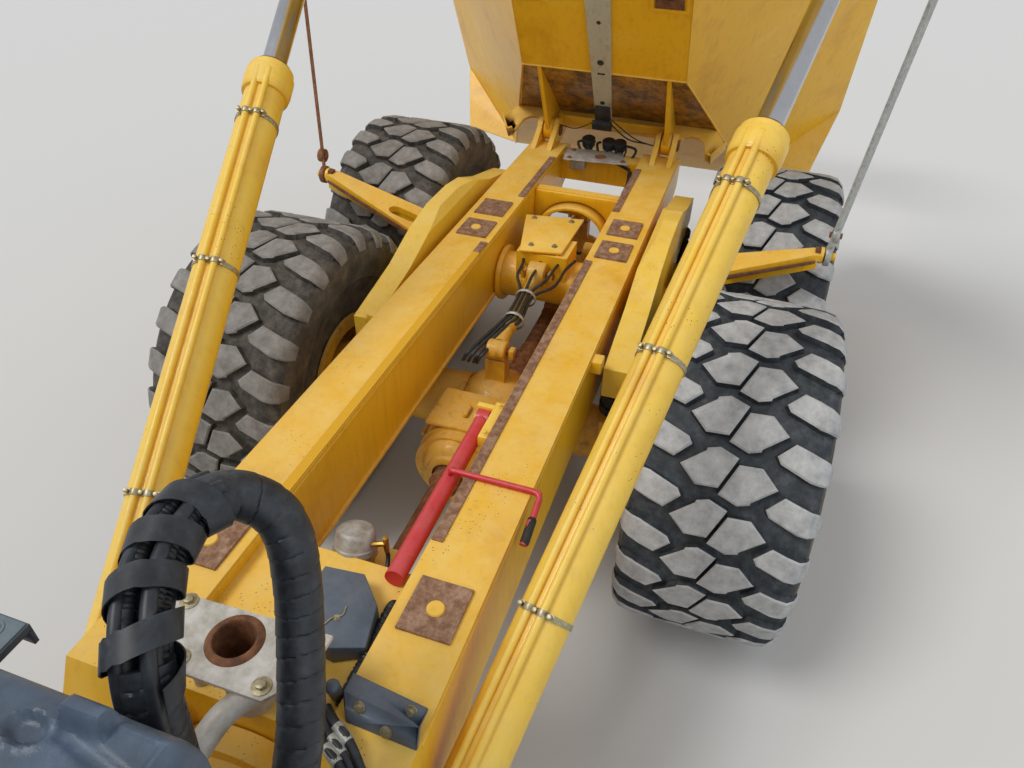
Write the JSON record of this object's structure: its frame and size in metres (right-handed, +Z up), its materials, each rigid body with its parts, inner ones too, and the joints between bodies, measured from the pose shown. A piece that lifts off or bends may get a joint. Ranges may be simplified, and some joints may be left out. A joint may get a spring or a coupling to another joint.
{
  "type": "articulated dump truck",
  "caption": "Articulated off-road dump truck on three axles with a tipping load body, twin hoist cylinders, a linked tailgate, a cab and a tilting hood.",
  "frame": {"origin": "on the ground, under the middle of the truck's bounding box as parked with its body raised", "axes": "+X forward along the truck, +Y to its left, +Z up"},
  "size_m": [13.4461, 4.025, 7.504],
  "materials": {
    "yellow_paint": "satin",
    "grey_paint": "satin",
    "tyre_rubber": "matte",
    "rod_chrome": "gloss",
    "galvanised_steel": "satin",
    "black_iron": "matte",
    "black_plastic": "matte",
    "red_paint": "satin",
    "rusty_steel": "matte",
    "bare_plate": "satin",
    "black_rubber": "matte",
    "window_glass": "gloss"
  },
  "bodies": {
    "rear_unit": {"rear_frame": "yellow_paint", "hoist_pins": "yellow_paint", "wear_plates": "rusty_steel", "outrigger_arms": "yellow_paint", "walking_beams": "yellow_paint", "rubber_springs": "black_rubber", "bogie_axles": "yellow_paint", "control_rods": "yellow_paint", "rear_shafts": "rusty_steel", "outlet_plate": "bare_plate", "canister": "grey_paint"},
    "hitch": {"hitch": "yellow_paint", "hose_bundle": "black_rubber"},
    "front_unit": {"front_frame": "yellow_paint", "front_axle": "yellow_paint", "engine": "black_iron", "bumper": "grey_paint", "fenders": "grey_paint", "tanks": "grey_paint", "rear_cover": "grey_paint", "cab_shell": "grey_paint", "cab_glass": "window_glass", "cab_interior": "black_plastic", "handrails": "yellow_paint"},
    "hood": {"hood": "yellow_paint", "grille": "black_iron"},
    "door": {"door": "grey_paint", "door_glass": "window_glass"},
    "dump_body": {"body_floor": "yellow_paint", "body_sides": "yellow_paint", "body_front_wall": "yellow_paint", "body_underframe": "yellow_paint"},
    "tailgate": {"tailgate": "yellow_paint"},
    "body_prop": {"body_prop": "red_paint"},
    "tail_link_left": {"tail_link_left": "galvanised_steel"},
    "hoist_barrel_left": {"hoist_barrel_left": "yellow_paint"},
    "hoist_rod_left": {"hoist_rod_left": "rod_chrome"},
    "steer_barrel_left": {"steer_barrel_left": "yellow_paint"},
    "steer_rod_left": {"steer_rod_left": "rod_chrome"},
    "wheel_front_left": {"tyre_front_left": "tyre_rubber", "rim_front_left": "yellow_paint"},
    "wheel_mid_left": {"tyre_mid_left": "tyre_rubber", "rim_mid_left": "yellow_paint"},
    "wheel_rear_left": {"tyre_rear_left": "tyre_rubber", "rim_rear_left": "yellow_paint"},
    "tail_link_right": {"tail_link_right": "galvanised_steel"},
    "hoist_barrel_right": {"hoist_barrel_right": "yellow_paint"},
    "hoist_rod_right": {"hoist_rod_right": "rod_chrome"},
    "steer_barrel_right": {"steer_barrel_right": "yellow_paint"},
    "steer_rod_right": {"steer_rod_right": "rod_chrome"},
    "wheel_front_right": {"tyre_front_right": "tyre_rubber", "rim_front_right": "yellow_paint"},
    "wheel_mid_right": {"tyre_mid_right": "tyre_rubber", "rim_mid_right": "yellow_paint"},
    "wheel_rear_right": {"tyre_rear_right": "tyre_rubber", "rim_rear_right": "yellow_paint"}
  },
  "joints": [
    {"name": "hitch_roll", "type": "hinge", "parent": "rear_unit", "child": "hitch", "pos_m": [1.70494, 0, 1.18], "axis": [1, 0, 0], "range_deg": [-12, 12]},
    {"name": "steer", "type": "hinge", "parent": "hitch", "child": "front_unit", "pos_m": [2.37494, 0, 1.18], "axis": [0, 0, 1], "range_deg": [-45, 45], "deforming": ["hose_bundle"]},
    {"name": "wheel_front_left", "type": "hinge", "parent": "front_unit", "child": "wheel_front_left", "pos_m": [3.62294, 1.3685, 0.945], "axis": [0, 1, 0], "continuous": true},
    {"name": "wheel_front_right", "type": "hinge", "parent": "front_unit", "child": "wheel_front_right", "pos_m": [3.62294, -1.3685, 0.945], "axis": [0, 1, 0], "continuous": true},
    {"name": "wheel_mid_left", "type": "hinge", "parent": "rear_unit", "child": "wheel_mid_left", "pos_m": [-0.89506, 1.3685, 0.945], "axis": [0, 1, 0], "continuous": true},
    {"name": "wheel_mid_right", "type": "hinge", "parent": "rear_unit", "child": "wheel_mid_right", "pos_m": [-0.89506, -1.3685, 0.945], "axis": [0, 1, 0], "continuous": true},
    {"name": "wheel_rear_left", "type": "hinge", "parent": "rear_unit", "child": "wheel_rear_left", "pos_m": [-2.83506, 1.3685, 0.945], "axis": [0, 1, 0], "continuous": true},
    {"name": "wheel_rear_right", "type": "hinge", "parent": "rear_unit", "child": "wheel_rear_right", "pos_m": [-2.83506, -1.3685, 0.945], "axis": [0, 1, 0], "continuous": true},
    {"name": "body_tip", "type": "hinge", "parent": "rear_unit", "child": "dump_body", "pos_m": [-3.53506, 0, 1.756], "axis": [0, -1, 0], "range_deg": [-60, 10]},
    {"name": "tailgate_swing", "type": "hinge", "parent": "dump_body", "child": "tailgate", "pos_m": [-4.0656, 0, 3.72508], "axis": [0, -1, 0], "range_deg": [-11, 62.5]},
    {"name": "tail_link_left", "type": "hinge", "parent": "rear_unit", "child": "tail_link_left", "pos_m": [-2.02006, 1.714, 1.756], "axis": [0, -1, 0], "range_deg": [-54, 9.5]},
    {"name": "hoist_swing_left", "type": "hinge", "parent": "rear_unit", "child": "hoist_barrel_left", "pos_m": [1.69494, 0.668, 1.165], "axis": [-0.5206, -0.5825, -0.6243], "range_deg": [-1.6, 9.2]},
    {"name": "hoist_slide_left", "type": "slide", "parent": "hoist_barrel_left", "child": "hoist_rod_left", "axis": [-0.8292, 0.1707, 0.5322], "range_m": [-2.45, 0.42]},
    {"name": "steer_swing_left", "type": "hinge", "parent": "hitch", "child": "steer_barrel_left", "pos_m": [2.07494, 0.48, 1.18], "axis": [0, 0, 1], "range_deg": [-35, 35]},
    {"name": "steer_slide_left", "type": "slide", "parent": "steer_barrel_left", "child": "steer_rod_left", "axis": [1, 0, 0], "range_m": [-0.37, 0.37]},
    {"name": "tail_link_right", "type": "hinge", "parent": "rear_unit", "child": "tail_link_right", "pos_m": [-2.02006, -1.714, 1.756], "axis": [0, -1, 0], "range_deg": [-54, 9.5]},
    {"name": "hoist_swing_right", "type": "hinge", "parent": "rear_unit", "child": "hoist_barrel_right", "pos_m": [1.69494, -0.668, 1.165], "axis": [0.5206, -0.5825, 0.6243], "range_deg": [-1.6, 9.2]},
    {"name": "hoist_slide_right", "type": "slide", "parent": "hoist_barrel_right", "child": "hoist_rod_right", "axis": [-0.8292, -0.1707, 0.5322], "range_m": [-2.45, 0.42]},
    {"name": "steer_swing_right", "type": "hinge", "parent": "hitch", "child": "steer_barrel_right", "pos_m": [2.07494, -0.48, 1.18], "axis": [0, 0, 1], "range_deg": [-35, 35]},
    {"name": "steer_slide_right", "type": "slide", "parent": "steer_barrel_right", "child": "steer_rod_right", "axis": [1, 0, 0], "range_m": [-0.37, 0.37]},
    {"name": "hood_tilt", "type": "hinge", "parent": "front_unit", "child": "hood", "pos_m": [6.54494, 0, 1.64], "axis": [0, 1, 0], "range_deg": [0, 60]},
    {"name": "cab_door", "type": "hinge", "parent": "front_unit", "child": "door", "pos_m": [3.17294, 0.796, 2.4], "axis": [0, 0, 1], "range_deg": [0, 75]},
    {"name": "body_prop_swing", "type": "hinge", "parent": "rear_unit", "child": "body_prop", "pos_m": [-0.06506, 0.225, 1.59], "axis": [0, -1, 0], "range_deg": [0, 70]}
  ],
  "couplings": [
    {"joint": "tailgate_swing", "follows": "body_tip", "ratio": -1.0333},
    {"joint": "tail_link_left", "follows": "body_tip", "ratio": 0.892},
    {"joint": "hoist_swing_left", "follows": "body_tip", "ratio": -0.15142},
    {"joint": "hoist_slide_left", "follows": "body_tip", "m_per_rad": 2.3181},
    {"joint": "steer_swing_left", "follows": "steer", "ratio": 0.76},
    {"joint": "steer_slide_left", "follows": "steer", "m_per_rad": -0.459},
    {"joint": "tail_link_right", "follows": "body_tip", "ratio": 0.892},
    {"joint": "hoist_swing_right", "follows": "body_tip", "ratio": -0.15142},
    {"joint": "hoist_slide_right", "follows": "body_tip", "m_per_rad": 2.3181},
    {"joint": "steer_swing_right", "follows": "steer", "ratio": 0.76},
    {"joint": "steer_slide_right", "follows": "steer", "m_per_rad": 0.459}
  ]
}
